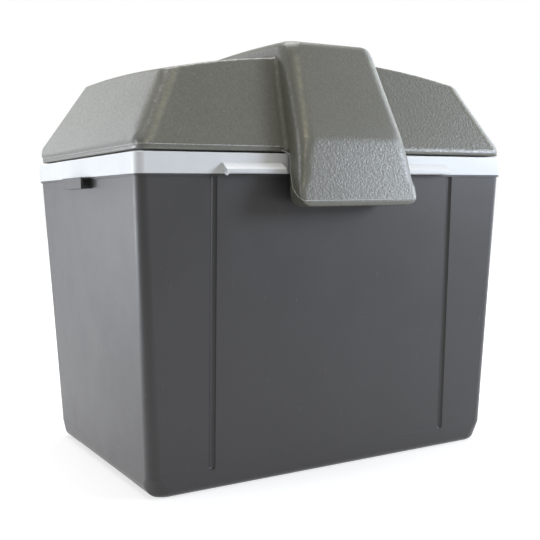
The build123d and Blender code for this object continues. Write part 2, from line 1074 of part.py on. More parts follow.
def make_fan_motor():
    low = bracket_low() + bracket_thickness
    can = cylinder_between(0, module_y, low, low + motor_height, motor_radius)
    can = fillet(top_edges(can), motor_rounding)
    boss = cylinder_between(0, module_y, bracket_low(), low, motor_boss_radius)
    bore_top = low + motor_height - motor_end_wall
    bore = cylinder_between(0, module_y, bracket_low(), bore_top, shaft_radius + pin_clearance)
    block = 3 * cable_radius
    terminal = Pos(motor_radius, module_y, low + motor_height / 2) * Box(
        2 * motor_terminal, block, block
    )
    return can + terminal + boss - bore


def make_fan_shaft():
    high = bracket_low() + bracket_thickness + motor_height - motor_end_wall - seal_gap
    return cylinder_between(0, module_y, cold_fan_low(), high, shaft_radius)


def make_fan(low):
    """A hub with pitched blades."""
    hub = cylinder_between(0, 0, 0, fan_height, fan_hub_radius)
    hub = fillet(top_edges(hub), fan_hub_rounding)
    length = fan_radius - fan_hub_radius + 2 * blade_root
    middle = (fan_hub_radius + fan_radius) / 2 - blade_root
    blade = Pos(middle, 0, fan_height / 2) * Box(
        length, blade_chord, blade_thickness, rotation=(blade_pitch, 0, 0)
    )
    fan = hub
    for index in range(blade_count):
        fan = fan + Rot(0, 0, index * 360 / blade_count) * blade
    limits = cylinder_between(0, 0, 0, fan_height, fan_radius)
    fan = fan & limits
    fan = fan - cylinder_between(0, 0, 0, fan_height, shaft_radius)
    return Pos(0, module_y, low) * fan


def guard_screw_points():
    reach = guard_size / 2 - guard_rim / 2
    return [(sx * reach, module_y + sy * reach) for sx in (-1, 1) for sy in (-1, 1)]


def guard_screw_holes(radius):
    low = plug_low - guard_wall
    high = low + screw_length + hole_spare
    return [cylinder_between(x, y, low, high, radius) for x, y in guard_screw_points()]


def make_fan_guard():
    """A shallow slotted tray that hangs below the pan around the cold fan."""
    bowl_width = guard_size - 2 * guard_rim
    rim = Pos(0, module_y) * rounded_block(
        guard_size, guard_size, guard_corner, plug_low - guard_wall, plug_low
    )
    bowl = Pos(0, module_y) * rounded_block(
        bowl_width, bowl_width, guard_corner, plug_low - guard_depth, plug_low
    )
    bowl = fillet(bottom_edges(bowl), guard_wall)
    hollow = Pos(0, module_y) * rounded_block(
        bowl_width - 2 * guard_wall,
        bowl_width - 2 * guard_wall,
        guard_corner - guard_wall,
        plug_low - guard_depth + guard_wall,
        plug_low,
    )
    guard = rim + bowl - hollow
    slot = SlotOverall(bowl_width - 4 * guard_wall, guard_slot)
    for row in range(guard_slot_rows):
        offset = (row - (guard_slot_rows - 1) / 2) * guard_pitch
        tool = Plane.XY.offset(plug_low - guard_depth) * Pos(0, module_y + offset) * slot
        guard = guard - extrude(tool, guard_wall)
    for hole in guard_screw_holes(hole_radius):
        guard = guard - hole
    return guard


def make_guard_screws():
    return group(
        [
            Plane(origin=(x, y, plug_low - guard_wall), z_dir=(0, 0, -1)) * screw(screw_length)
            for x, y in guard_screw_points()
        ]
    )


def grille_screw_places():
    x_reach = grille_width / 2 + grille_rim / 2
    y_reach = grille_height / 2 - grille_screw_inset
    return [
        rear_plane(hump_rear_step) * Pos(sx * x_reach, sy * y_reach, grille_plate)
        for sx in (-1, 1)
        for sy in (-1, 1)
    ]


def grille_screw_holes(radius):
    depth = grille_screw_length + 2 * hole_spare
    return [place * extrude(Circle(radius), -depth) for place in grille_screw_places()]


def make_vent_grille():
    """A plate on the hump's rear face with a slotted body set into the window."""
    plane = rear_plane(hump_rear_step)
    outer = RectangleRounded(grille_width + 2 * grille_rim, grille_height + 2 * grille_rim, grille_rim)
    plate = fillet(extrude(outer, grille_plate).edges().group_by(Axis.Z)[-1], grille_plate / 2)
    body = extrude(
        RectangleRounded(
            grille_width - 2 * pan_clearance, grille_height - 2 * pan_clearance, grille_rim / 2
        ),
        -lid_wall,
    )
    grille = plate + body
    for row in range(grille_slots):
        offset = (row - (grille_slots - 1) / 2) * grille_slot_pitch
        slot = Pos(0, offset) * SlotOverall(grille_width - 2 * grille_rim, grille_slot_height)
        grille = grille - extrude(slot, 2 * lid_wall, both=True)
    grille = plane * grille
    for hole in grille_screw_holes(hole_radius):
        grille = grille - hole
    return grille


def make_grille_screws():
    return group([place * screw(grille_screw_length) for place in grille_screw_places()])


def inlet_plane():
    """Square to the lid's rear slope, beside the hump."""
    plane = rear_plane(0)
    return plane * Pos(-inlet_offset, -inlet_drop)


def inlet_bore(radius):
    return inlet_plane() * extrude(Circle(radius), 4 * lid_wall, both=True)


def inlet_clearance():
    return inlet_plane() * extrude(Circle(inlet_radius + cable_play), -(inlet_depth + cable_play))


def make_power_inlet():
    """A round two-pin socket with a flange on the lid's rear slope."""
    flange = extrude(Circle(inlet_flange), inlet_flange_thickness)
    flange = fillet(top_edges(flange), inlet_flange_rounding)
    socket = flange + extrude(Circle(inlet_radius), -inlet_depth)
    recess_low = inlet_flange_thickness - inlet_recess
    socket = socket - Pos(0, 0, recess_low) * extrude(Circle(inlet_socket_radius), inlet_recess)
    for side in (-1, 1):
        socket = socket + Pos(side * inlet_pin_offset, 0, recess_low) * extrude(
            Circle(inlet_pin_radius), inlet_pin_length
        )
    return inlet_plane() * socket


def cable_points():
    """From the back of the inlet forwards through the foam and across to the motor."""
    start = (inlet_plane() * Pos(0, 0, -inlet_depth)).position
    inwards = (inlet_plane() * Pos(0, 0, -inlet_depth - cable_lead)).position
    motor_z = bracket_low() + bracket_thickness + motor_height / 2
    side = motor_radius + motor_terminal
    turn = Vector(side + cable_turn_out, inwards.Y - cable_turn_forward, motor_z - cable_turn_drop)
    before = Vector(side + cable_level_run, module_y, motor_z)
    return [start, inwards, turn, before, Vector(side, module_y, motor_z)]


def cable_form(radius):
    points = cable_points()
    path = FilletPolyline(*points, radius=cable_bend)
    start = Plane(origin=points[0], z_dir=points[1] - points[0])
    return sweep(start * Circle(radius), path=path)


def clip_plane():
    """The flap's inner face: X across, Y up the face, Z towards the body."""
    rise = hem - flap_bottom
    run = flap_gap_bottom - flap_gap_top
    lean = atan2(run, rise)
    return Plane(
        origin=(0, flap_back(flap_bottom), flap_bottom), x_dir=(-1, 0, 0), z_dir=(0, cos(lean), -sin(lean))
    )


def make_latch_clip():
    """A strip of spring steel with a nose that rests below the collar's catch lip."""
    low = clip_nose_at - clip_nose_half
    high = clip_nose_at + clip_nose_half
    crest = clip_nose + clip_thickness
    under = [
        (0, 0),
        (low, 0),
        (clip_nose_at - clip_nose_flat, clip_nose),
        (clip_nose_at + clip_nose_flat, clip_nose),
        (high, 0),
        (clip_length, 0),
    ]
    over = [
        (clip_length, clip_thickness),
        (high + clip_foot_shift, clip_thickness),
        (clip_nose_at + clip_nose_back_flat, crest),
        (clip_nose_at - clip_nose_back_flat, crest),
        (low - clip_foot_shift, clip_thickness),
        (0, clip_thickness),
    ]
    profile = Plane.YZ * Polygon(*(under + over), align=None)
    strip = extrude(profile, clip_width / 2, both=True)
    clip = clip_plane() * Pos(0, clip_start, 0) * strip
    for hole in clip_screw_holes(hole_radius):
        clip = clip - hole
    return clip


def clip_screw_places():
    return [
        clip_plane() * Pos(side * clip_screw_spread / 2, clip_start + clip_screw_at, clip_thickness)
        for side in (-1, 1)
    ]


def clip_screw_holes(radius):
    depth = clip_screw_length + hole_spare
    return [place * extrude(Circle(radius), -depth) for place in clip_screw_places()]


def make_latch_screws():
    return group([place * screw(clip_screw_length) for place in clip_screw_places()])


parts = {
    "outer_shell": make_outer_shell(),
    "body_foam": make_body_foam(),
    "inner_liner": make_inner_liner(),
    "rim_collar": make_rim_collar(),
    "hinge_body_leaves": group([make_body_leaf(x) for x in hinge_centres()]),
    "hinge_pins": make_hinge_pins(),
    "hinge_body_screws": group([plane * screw(screw_length) for plane in body_screw_planes()]),
    "lid_shell": make_lid_shell(),
    "lid_foam": make_lid_foam(),
    "lid_pan": make_lid_pan(),
    "lid_gasket": make_lid_gasket(),
    "pan_screws": make_pan_screws(),
    "hinge_lid_leaves": group([make_lid_leaf(x) for x in hinge_centres()]),
    "hinge_lid_screws": group([place * screw(screw_length) for place in lid_screw_planes()]),
    "latch_clip": make_latch_clip(),
    "latch_screws": make_latch_screws(),
    "cold_sink": make_cold_sink(),
    "cold_block": make_cold_block(),
    "thermoelectric_tile": make_thermoelectric_tile(),
    "module_insulator": make_module_insulator(),
    "hot_sink": make_hot_sink(),
    "clamp_screws": make_clamp_screws(),
    "motor_bracket": make_motor_bracket(),
    "fan_motor": make_fan_motor(),
    "fan_shaft": make_fan_shaft(),
    "hot_fan": make_fan(hot_fan_low()),
    "cold_fan": make_fan(cold_fan_low()),
    "fan_guard": make_fan_guard(),
    "guard_screws": make_guard_screws(),
    "vent_grille": make_vent_grille(),
    "grille_screws": make_grille_screws(),
    "power_inlet": make_power_inlet(),
    "supply_cable": cable_form(cable_radius),
}

os.makedirs("parts", exist_ok=True)
for name, solid in parts.items():
    export_step(solid, f"parts/{name}.step")
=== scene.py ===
import json
import math
import random

import bmesh
import bpy
from mathutils import Matrix, Vector, noise
from mathutils.bvhtree import BVHTree
import numpy as np

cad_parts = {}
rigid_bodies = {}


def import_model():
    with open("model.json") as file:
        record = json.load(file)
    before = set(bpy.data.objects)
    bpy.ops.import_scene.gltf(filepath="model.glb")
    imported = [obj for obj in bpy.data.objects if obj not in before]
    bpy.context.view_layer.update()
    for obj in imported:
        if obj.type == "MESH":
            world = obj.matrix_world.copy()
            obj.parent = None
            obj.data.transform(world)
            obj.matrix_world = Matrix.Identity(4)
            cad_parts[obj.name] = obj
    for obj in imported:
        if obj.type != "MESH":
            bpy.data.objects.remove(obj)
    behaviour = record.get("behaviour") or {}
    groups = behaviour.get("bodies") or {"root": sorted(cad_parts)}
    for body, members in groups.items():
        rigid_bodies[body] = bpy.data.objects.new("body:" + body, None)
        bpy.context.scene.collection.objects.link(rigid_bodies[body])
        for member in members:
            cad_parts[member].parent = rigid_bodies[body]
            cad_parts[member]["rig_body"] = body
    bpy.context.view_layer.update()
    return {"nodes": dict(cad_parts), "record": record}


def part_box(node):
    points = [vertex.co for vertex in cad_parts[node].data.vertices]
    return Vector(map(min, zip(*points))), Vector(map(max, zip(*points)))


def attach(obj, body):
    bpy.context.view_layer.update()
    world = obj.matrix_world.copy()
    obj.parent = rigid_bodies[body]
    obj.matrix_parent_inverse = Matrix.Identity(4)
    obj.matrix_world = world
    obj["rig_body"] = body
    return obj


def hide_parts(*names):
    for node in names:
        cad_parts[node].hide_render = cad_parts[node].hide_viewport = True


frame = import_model()
scene = bpy.context.scene
nodes = frame["nodes"]

MM = 0.001
SIDES = (-1, 1)

# The lid's band and the hump beside it, in metres
lid_half_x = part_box("lid_shell")[1].x
band_top = 0.316
band_front = -0.1506
band_rear = 0.147
band_corner = 0.014
flap_gap_half = 0.064

# The leaning faces above the band: how far each leans in for every metre up
side_lean = 0.575
side_lean_start = 0.3200
front_lean = 0.385

# The line where each front face meets its outer corner: its way in, and the heights it spans
panel_edge_inset = 0.0120
panel_edge_low = 0.3180
panel_edge_high = 0.3830

# The outer front corners that are rounded further: the way back, and the heights they span
corner_setback = 0.019
corner_low = 0.335
corner_high = 0.366

# The hump's front edge from its top over the crease to half way down the flap
hump_edge = [(0.0510, -0.1345, 0.4120), (0.0609, -0.1741, 0.3235), (0.0655, -0.1805, 0.2930)]

# The stretch of that edge that carries a painted highlight line, and how far in from it the
# crease's own rounding ends
hump_highlight_line = [(0.0427, -0.1395, 0.4008), (0.0545, -0.1742, 0.3232)]
crease_inset = 0.010

# The flap's moulding line: down its side wall, as depth and height, then across its front
flap_side_line = [(-0.1530, 0.3135), (-0.1590, 0.2960), (-0.1676, 0.2775), (-0.1780, 0.2685)]
flap_half_low = 0.0672
flap_front_low = -0.1840
flap_front_inset = 0.004
flap_seam_height = 0.266
flap_seam_rise = 0.0005

# The seam round the tub near its foot
seam_half_x = 0.1977
seam_half_y = 0.1348
seam_corner = 0.010
seam_height = 0.021


# Camera at the photograph's viewpoint: its place in metres, its lens in millimetres

camera_place = Vector((-0.47897, -0.84370, 0.26666))
camera_forward = Vector((0.4964, 0.8644, -0.0795))
camera_right = Vector((0.8667, -0.4988, -0.0119))
camera_lens = 58.144
camera_nearest = 0.01
sensor_width = 36.0


def make_camera():
    camera = bpy.data.cameras.new("camera")
    camera.lens = camera_lens
    camera.sensor_width = sensor_width
    camera.clip_start = camera_nearest
    holder = bpy.data.objects.new("camera", camera)
    scene.collection.objects.link(holder)
    forward = camera_forward.normalized()
    right = (camera_right - forward * camera_right.dot(forward)).normalized()
    up = right.cross(forward)
    turn = Matrix((right, up, -forward)).transposed().to_4x4()
    holder.matrix_world = Matrix.Translation(camera_place) @ turn
    scene.camera = holder


# Materials

ALONG_X = 0
ALONG_Y = 1
ALONG_Z = 2


def math_node(tree, operation, first, second):
    """A piece of arithmetic in a node tree, on plain numbers or other nodes' results."""
    node = tree.nodes.new("ShaderNodeMath")
    node.operation = operation
    for socket, value in zip(node.inputs, (first, second)):
        if isinstance(value, float):
            socket.default_value = value
        else:
            tree.links.new(value, socket)
    return node.outputs[0]


class Shader:
    """A material's node tree with short calls for the nodes used here."""

    # In a Mix node the colour sockets come after those for numbers and vectors
    mix_first = 6
    mix_second = 7
    mix_result = 2

    def __init__(self, name):
        self.material = bpy.data.materials.new(name)
        self.material.use_nodes = True
        self.tree = self.material.node_tree
        self.tree.nodes.clear()
        self.output = self.add("ShaderNodeOutputMaterial")
        self.surface = self.add("ShaderNodeBsdfPrincipled")
        self.link(self.surface.outputs[0], self.output.inputs["Surface"])
        self.place = self.add("ShaderNodeNewGeometry").outputs["Position"]

    def add(self, kind, **values):
        node = self.tree.nodes.new(kind)
        for key, value in values.items():
            setattr(node, key, value)
        return node

    def link(self, start, end):
        self.tree.links.new(start, end)

    def put(self, socket, value):
        """Sets a socket to a plain value, or links it to another node's result."""
        if isinstance(value, (int, float, tuple, list)):
            socket.default_value = value
        else:
            self.link(value, socket)

    def set(self, name, value):
        """Sets one of the surface's own inputs."""
        self.put(self.surface.inputs[name], value)

    def stretched(self, size):
        """The point's place, divided by a size along each axis."""
        node = self.add("ShaderNodeVectorMath", operation="MULTIPLY")
        self.link(self.place, node.inputs[0])
        node.inputs[1].default_value = tuple(1.0 / s for s in size)
        return node.outputs[0]

    def noise(self, size, detail, roughness=0.55, vector=None):
        """A soft cloud pattern with features of about the given size."""
        node = self.add("ShaderNodeTexNoise")
        self.link(vector or self.stretched((size, size, size)), node.inputs["Vector"])
        node.inputs["Scale"].default_value = 1.0
        node.inputs["Detail"].default_value = detail
        node.inputs["Roughness"].default_value = roughness
        return node.outputs["Fac"]

    def cells(self, size, warp, smooth=0.0):
        """How far the point is from the middle of its cell, in a pattern of uneven cells."""
        bend_scale = 0.8
        bend_detail = 2.0
        pull = 2 * warp
        vector = self.stretched((size, size, size))
        bend = self.add("ShaderNodeTexNoise")
        self.link(vector, bend.inputs["Vector"])
        bend.inputs["Scale"].default_value = bend_scale
        bend.inputs["Detail"].default_value = bend_detail
        offset = self.add("ShaderNodeVectorMath", operation="MULTIPLY_ADD")
        self.link(bend.outputs["Color"], offset.inputs[0])
        offset.inputs[1].default_value = (pull, pull, pull)
        self.link(vector, offset.inputs[2])
        feature = "SMOOTH_F1" if smooth else "F1"
        node = self.add("ShaderNodeTexVoronoi", feature=feature)
        self.link(offset.outputs[0], node.inputs["Vector"])
        node.inputs["Scale"].default_value = 1.0
        if smooth:
            node.inputs["Smoothness"].default_value = smooth
        return node.outputs["Distance"]

    def span(self, value, low, high, start=0.0, end=1.0):
        """A value between low and high, laid out evenly from start to end and held there."""
        node = self.add("ShaderNodeMapRange", clamp=True)
        self.put(node.inputs["Value"], value)
        node.inputs["From Min"].default_value = low
        node.inputs["From Max"].default_value = high
        node.inputs["To Min"].default_value = start
        node.inputs["To Max"].default_value = end
        return node.outputs["Result"]

    def math(self, operation, first, second=0.0):
        return math_node(self.tree, operation, first, second)

    def times(self, first, second):
        return self.math("MULTIPLY", first, second)

    def mix(self, share, first, second):
        """The first tone at share 0, the second at share 1."""
        node = self.add("ShaderNodeMix", data_type="RGBA")
        self.put(node.inputs["Factor"], share)
        self.put(node.inputs[self.mix_first], first)
        self.put(node.inputs[self.mix_second], second)
        return node.outputs[self.mix_result]

    def bump(self, height, strength, distance, under=None):
        """A relief in the surface's shading, laid over another one where given."""
        node = self.add("ShaderNodeBump")
        node.inputs["Strength"].default_value = strength
        node.inputs["Distance"].default_value = distance
        self.link(height, node.inputs["Height"])
        if under is not None:
            self.link(under, node.inputs["Normal"])
        return node.outputs["Normal"]

    def attribute(self, name):
        """A value that was written to the mesh's points."""
        node = self.add("ShaderNodeAttribute", attribute_name=name)
        return node.outputs["Fac"]

    def coordinate(self, axis):
        """The point's X, Y or Z in metres."""
        node = self.add("ShaderNodeSeparateXYZ")
        self.link(self.place, node.inputs[0])
        return node.outputs[axis]

    def distance(self):
        """How far the point is from the object's middle."""
        node = self.add("ShaderNodeVectorMath", operation="LENGTH")
        self.link(self.place, node.inputs[0])
        return node.outputs["Value"]


def colour(red, green, blue):
    """An opaque colour."""
    return (red, green, blue, 1.0)


def tinted(value, share):
    """A colour made darker or lighter by a share."""
    return colour(*[c * share for c in value[:3]])


def uneven(shader, cloud, base, darkest, lightest):
    """A tone that drifts in clouds between two shares of itself."""
    share = shader.span(cloud, low=0.3, high=0.7)
    return shader.mix(share, tinted(base, darkest), tinted(base, lightest))


def scratches(shader, width, length, axis, threshold):
    """Thin broken lines along one axis, as a mask. A higher threshold leaves fewer lines."""
    softness = 0.03
    break_size = 14 * MM
    size = [width, width, width]
    size[axis] = length
    lines = shader.noise(1.0, detail=1.0, vector=shader.stretched(tuple(size)))
    breaks = shader.noise(break_size, detail=2.0)
    mask = shader.span(lines, low=threshold, high=threshold + softness)
    return shader.times(mask, shader.span(breaks, low=0.52, high=0.6))


def lid_plastic():
    """Blow-moulded grey plastic with a leather-like grain and paler rubbed edges."""
    shader = Shader("lid_plastic")
    base = colour(0.122, 0.120, 0.098)
    # A cooler tone painted on the left and right faces as a painted sheen
    side_sheen_tone = colour(0.116, 0.117, 0.110)
    # Darker and paler tones painted on the grain's crests and pits as shade and glints
    crest_shade_tone = colour(0.080, 0.077, 0.058)
    pit_glint_tone = colour(0.195, 0.190, 0.128)
    rubbed_tone = colour(0.26, 0.255, 0.225)
    # The pale yellowish tone of the painted highlight lines
    highlight_line_tone = colour(0.250, 0.242, 0.170)
    # The dark tone painted into the hollows and inner corners as shade
    hollow_shade_tone = colour(0.040, 0.038, 0.024)
    scratch_tone = tinted(base, 1.9)
    wrinkle_size = 2.5 * MM
    wrinkle_depth = 0.50 * MM
    fine_size = 1.1 * MM
    fine_depth = 0.10 * MM
    patch_size = 60 * MM
    break_size = 5 * MM
    scratch_width = 1.2 * MM
    scratch_length = 26 * MM
    painted_grain_contrast = 0.42
    rubbed_share = 0.30
    hollow_shade_share = 0.50
    scratch_share = 0.35
    hollow_dullness = 0.35

    # The grain is worn to about a third on the left and right faces
    off_middle = shader.math("ABSOLUTE", shader.coordinate("X"))
    off_sides = shader.span(off_middle, low=0.188, high=0.204, start=1.0, end=0.35)
    # Convex points take rubbed wear; hollow points take painted shade
    wear_and_shade = shader.attribute("edge_wear_and_shade")
    wrinkles = shader.cells(wrinkle_size, warp=0.9, smooth=0.55)
    fine = shader.noise(fine_size, detail=2.0, roughness=0.5)

    # Uneven tone; the grain's pits painted paler and yellower as painted glints of warm light, and
    # its crests painted darker as painted shade
    patches = shader.span(shader.noise(patch_size, detail=3.0), low=0.35, high=0.65)
    tone = shader.mix(patches, tinted(base, 0.95), tinted(base, 1.05))
    # The left and right faces take a cooler tone, a painted sheen of the cool light there
    tone = shader.mix(off_sides, side_sheen_tone, tone)
    crest_shade = shader.times(shader.span(wrinkles, low=0.25, high=0.75), off_sides)
    tone = shader.mix(shader.times(crest_shade, painted_grain_contrast), tone, crest_shade_tone)
    pit_glints = shader.times(shader.span(wrinkles, low=0.30, high=0.08), off_sides)
    tone = shader.mix(shader.times(pit_glints, painted_grain_contrast), tone, pit_glint_tone)

    # Edges rubbed paler in broken patches, and pale yellowish painted highlight lines along the
    # hump's edges and the front panels' edges
    broken = shader.span(shader.noise(break_size, detail=4.0), low=0.40, high=0.62)
    patchy = shader.math("ADD", shader.times(broken, 0.6), 0.4)
    rubbed = shader.times(shader.span(wear_and_shade, low=0.35, high=1.1), patchy)
    tone = shader.mix(shader.times(rubbed, rubbed_share), tone, rubbed_tone)
    painted_highlight_lines = shader.span(broken, low=0.0, high=1.0, start=0.30, end=0.70)
    painted_highlight_lines = shader.times(shader.attribute("highlight_line"), painted_highlight_lines)
    tone = shader.mix(painted_highlight_lines, tone, highlight_line_tone)

    # Painted shade darkening the hollows and the inner corners beside the hump, and fine scratches
    painted_hollow_shade = shader.span(wear_and_shade, low=-0.30, high=-0.90)
    painted_hollow_shade = shader.math("MAXIMUM", painted_hollow_shade, shader.attribute("painted_shade_line"))
    tone = shader.mix(shader.times(painted_hollow_shade, hollow_shade_share), tone, hollow_shade_tone)
    rubs = scratches(shader, scratch_width, scratch_length, ALONG_Z, threshold=0.72)
    tone = shader.mix(shader.times(rubs, scratch_share), tone, scratch_tone)
    shader.set("Base Color", tone)

    # The flap is a little duller than the rest, and the hollows with painted shade duller still
    place_y = shader.coordinate("Y")
    flap_dullness = shader.span(place_y, low=-0.162, high=-0.172, start=0.0, end=0.04)
    roughness = shader.span(wrinkles, low=0.1, high=0.8, start=0.28, end=0.38)
    roughness = shader.math("ADD", roughness, flap_dullness)
    roughness = shader.math("ADD", roughness, shader.times(painted_hollow_shade, hollow_dullness))
    shader.set("Roughness", roughness)
    shader.set("Specular IOR Level", 0.72)

    # The grain is deepest on the faces beside the hump and shallow on rubbed edges
    beside_hump = shader.span(off_middle, low=0.062, high=0.070, start=0.0, end=0.55)
    height = shader.coordinate("Z")
    on_hump = shader.span(height, low=0.326, high=0.340, start=0.42, end=0.36)
    depth = shader.times(off_sides, shader.math("MAXIMUM", beside_hump, on_hump))
    depth = shader.times(depth, shader.span(wear_and_shade, low=0.15, high=0.8, start=1.0, end=0.35))
    soft = shader.bump(fine, strength=0.20, distance=fine_depth)
    grain = shader.times(wrinkles, depth)
    shader.set("Normal", shader.bump(grain, strength=0.75, distance=wrinkle_depth, under=soft))
    return shader.material


def flash_plastic():
    """The torn, paler plastic of the moulding line."""
    shader = Shader("flash_plastic")
    dull_tone = colour(0.24, 0.24, 0.22)
    torn_tone = colour(0.62, 0.62, 0.60)
    tear_size = 1.4 * MM
    tear_depth = 0.3 * MM
    tears = shader.noise(tear_size, detail=4.0, roughness=0.7)
    tone = shader.mix(shader.span(tears, low=0.35, high=0.65), dull_tone, torn_tone)
    shader.set("Base Color", tone)
    shader.set("Roughness", shader.span(tears, low=0.3, high=0.7, start=0.55, end=0.8))
    shader.set("Normal", shader.bump(tears, strength=0.6, distance=tear_depth))
    return shader.material


def body_plastic():
    """Dark moulded plastic with a fine grain, faint mottling and light handling marks."""
    shader = Shader("body_plastic")
    base = colour(0.0395, 0.0375, 0.0390)
    mark_tone = colour(0.30, 0.30, 0.31)
    grain_size = 0.7 * MM
    grain_depth = 0.10 * MM
    mottle_size = 45 * MM
    mottle_depth = 3.0 * MM
    scratch_width = 0.8 * MM
    scratch_height = 40 * MM
    scratch_length = 30 * MM
    fleck_spacing = 9 * MM
    scratch_share = 0.22
    fleck_share = 0.4
    grain = shader.noise(grain_size, detail=2.0, roughness=0.6)
    mottle = shader.noise(mottle_size, detail=4.0)
    tone = uneven(shader, mottle, base, darkest=0.94, lightest=1.06)
    upright = scratches(shader, scratch_width, scratch_height, ALONG_Z, threshold=0.74)
    level = scratches(shader, scratch_width, scratch_length, ALONG_Y, threshold=0.75)
    marks = shader.times(shader.math("MAXIMUM", upright, level), scratch_share)
    flecks = shader.span(shader.cells(fleck_spacing, warp=0.6), low=0.045, high=0.02)
    marks = shader.math("MAXIMUM", marks, shader.times(flecks, fleck_share))
    shader.set("Base Color", shader.mix(marks, tone, mark_tone))
    shader.set("Specular IOR Level", 0.42)
    shader.set("Roughness", shader.span(mottle, low=0.3, high=0.7, start=0.38, end=0.46))
    soft = shader.bump(mottle, strength=0.08, distance=mottle_depth)
    shader.set("Normal", shader.bump(grain, strength=0.30, distance=grain_depth, under=soft))
    return shader.material


def white_plastic(name, base, grain_depth, roughness):
    """White moulded plastic with a faintly uneven tone, small dust spots and a fine grain."""
    shader = Shader(name)
    dust_tone = colour(0.30, 0.29, 0.27)
    cloud_size = 38 * MM
    dust_spacing = 7 * MM
    grain_size = 0.8 * MM
    dust_share = 0.18
    glossiest = roughness - 0.04
    dullest = roughness + 0.06
    cloud = shader.noise(cloud_size, detail=3.0)
    tone = uneven(shader, cloud, base, darkest=0.97, lightest=1.01)
    dust = shader.span(shader.cells(dust_spacing, warp=0.5), low=0.05, high=0.02)
    tone = shader.mix(shader.times(dust, dust_share), tone, dust_tone)
    shader.set("Base Color", tone)
    shader.set("Roughness", shader.span(cloud, low=0.3, high=0.7, start=glossiest, end=dullest))
    fine = shader.noise(grain_size, detail=2.0)
    shader.set("Normal", shader.bump(fine, strength=0.25, distance=grain_depth))
    shader.set("Coat Weight", 0.08)
    shader.set("Coat Roughness", 0.15)
    return shader.material


def black_plastic(name):
    """Near-black moulded plastic, as on the fans and the grille."""
    shader = Shader(name)
    base = colour(0.028, 0.028, 0.030)
    grain_size = 0.6 * MM
    grain_depth = 0.08 * MM
    cloud_size = 18 * MM
    fine = shader.noise(grain_size, detail=2.0)
    cloud = shader.noise(cloud_size, detail=3.0)
    shader.set("Base Color", uneven(shader, cloud, base, darkest=0.85, lightest=1.3))
    shader.set("Roughness", shader.span(cloud, low=0.3, high=0.7, start=0.42, end=0.6))
    shader.set("Normal", shader.bump(fine, strength=0.3, distance=grain_depth))
    return shader.material


def foam():
    """Yellowed rigid foam with open cells."""
    shader = Shader("insulation")
    aged_tone = colour(0.74, 0.60, 0.34)
    fresh_tone = colour(0.80, 0.70, 0.46)
    cell_size = 1.6 * MM
    cell_depth = 0.5 * MM
    cloud_size = 30 * MM
    cell = shader.cells(cell_size, warp=0.4)
    cloud = shader.noise(cloud_size, detail=3.0)
    tone = shader.mix(shader.span(cloud, low=0.3, high=0.7), aged_tone, fresh_tone)
    shader.set("Base Color", tone)
    shader.set("Roughness", 0.9)
    shader.set("Normal", shader.bump(cell, strength=0.7, distance=cell_depth))
    return shader.material


def rubber(name, base):
    """Matt rubber with a fine grain."""
    shader = Shader(name)
    grain_size = 0.8 * MM
    grain_depth = 0.12 * MM
    cloud_size = 22 * MM
    fine = shader.noise(grain_size, detail=3.0)
    cloud = shader.noise(cloud_size, detail=3.0)
    shader.set("Base Color", uneven(shader, cloud, base, darkest=0.85, lightest=1.12))
    shader.set("Roughness", shader.span(fine, low=0.3, high=0.7, start=0.62, end=0.78))
    shader.set("Normal", shader.bump(fine, strength=0.35, distance=grain_depth))
    return shader.material


def metal(name, base, lines_axis, roughness):
    """Sheet or turned metal with drawn lines and slight staining."""
    shader = Shader(name)
    line_width = 0.25 * MM
    line_length = 9 * MM
    line_depth = 0.05 * MM
    stain_size = 9 * MM
    stained_tone = tinted(base, 0.72)
    glossiest = roughness - 0.06
    dullest = roughness + 0.14
    size = [line_width] * 3
    size[lines_axis] = line_length
    lines = shader.noise(1.0, detail=2.0, vector=shader.stretched(tuple(size)))
    stain = shader.noise(stain_size, detail=4.0)
    tone = shader.mix(shader.span(stain, low=0.35, high=0.7), base, stained_tone)
    shader.set("Base Color", tone)
    shader.set("Metallic", 1.0)
    shader.set("Roughness", shader.span(stain, low=0.3, high=0.75, start=glossiest, end=dullest))
    shader.set("Normal", shader.bump(lines, strength=0.25, distance=line_depth))
    return shader.material


def ceramic():
    """Pale matt ceramic, as on the two faces of the cooling tile."""
    shader = Shader("tile_ceramic")
    dull_tone = colour(0.80, 0.80, 0.78)
    clean_tone = colour(0.86, 0.86, 0.84)
    cloud_size = 5 * MM
    cloud_depth = 0.1 * MM
    cloud = shader.noise(cloud_size, detail=3.0)
    tone = shader.mix(shader.span(cloud, low=0.3, high=0.7), dull_tone, clean_tone)
    shader.set("Base Color", tone)
    shader.set("Roughness", 0.5)
    shader.set("Normal", shader.bump(cloud, strength=0.2, distance=cloud_depth))
    return shader.material


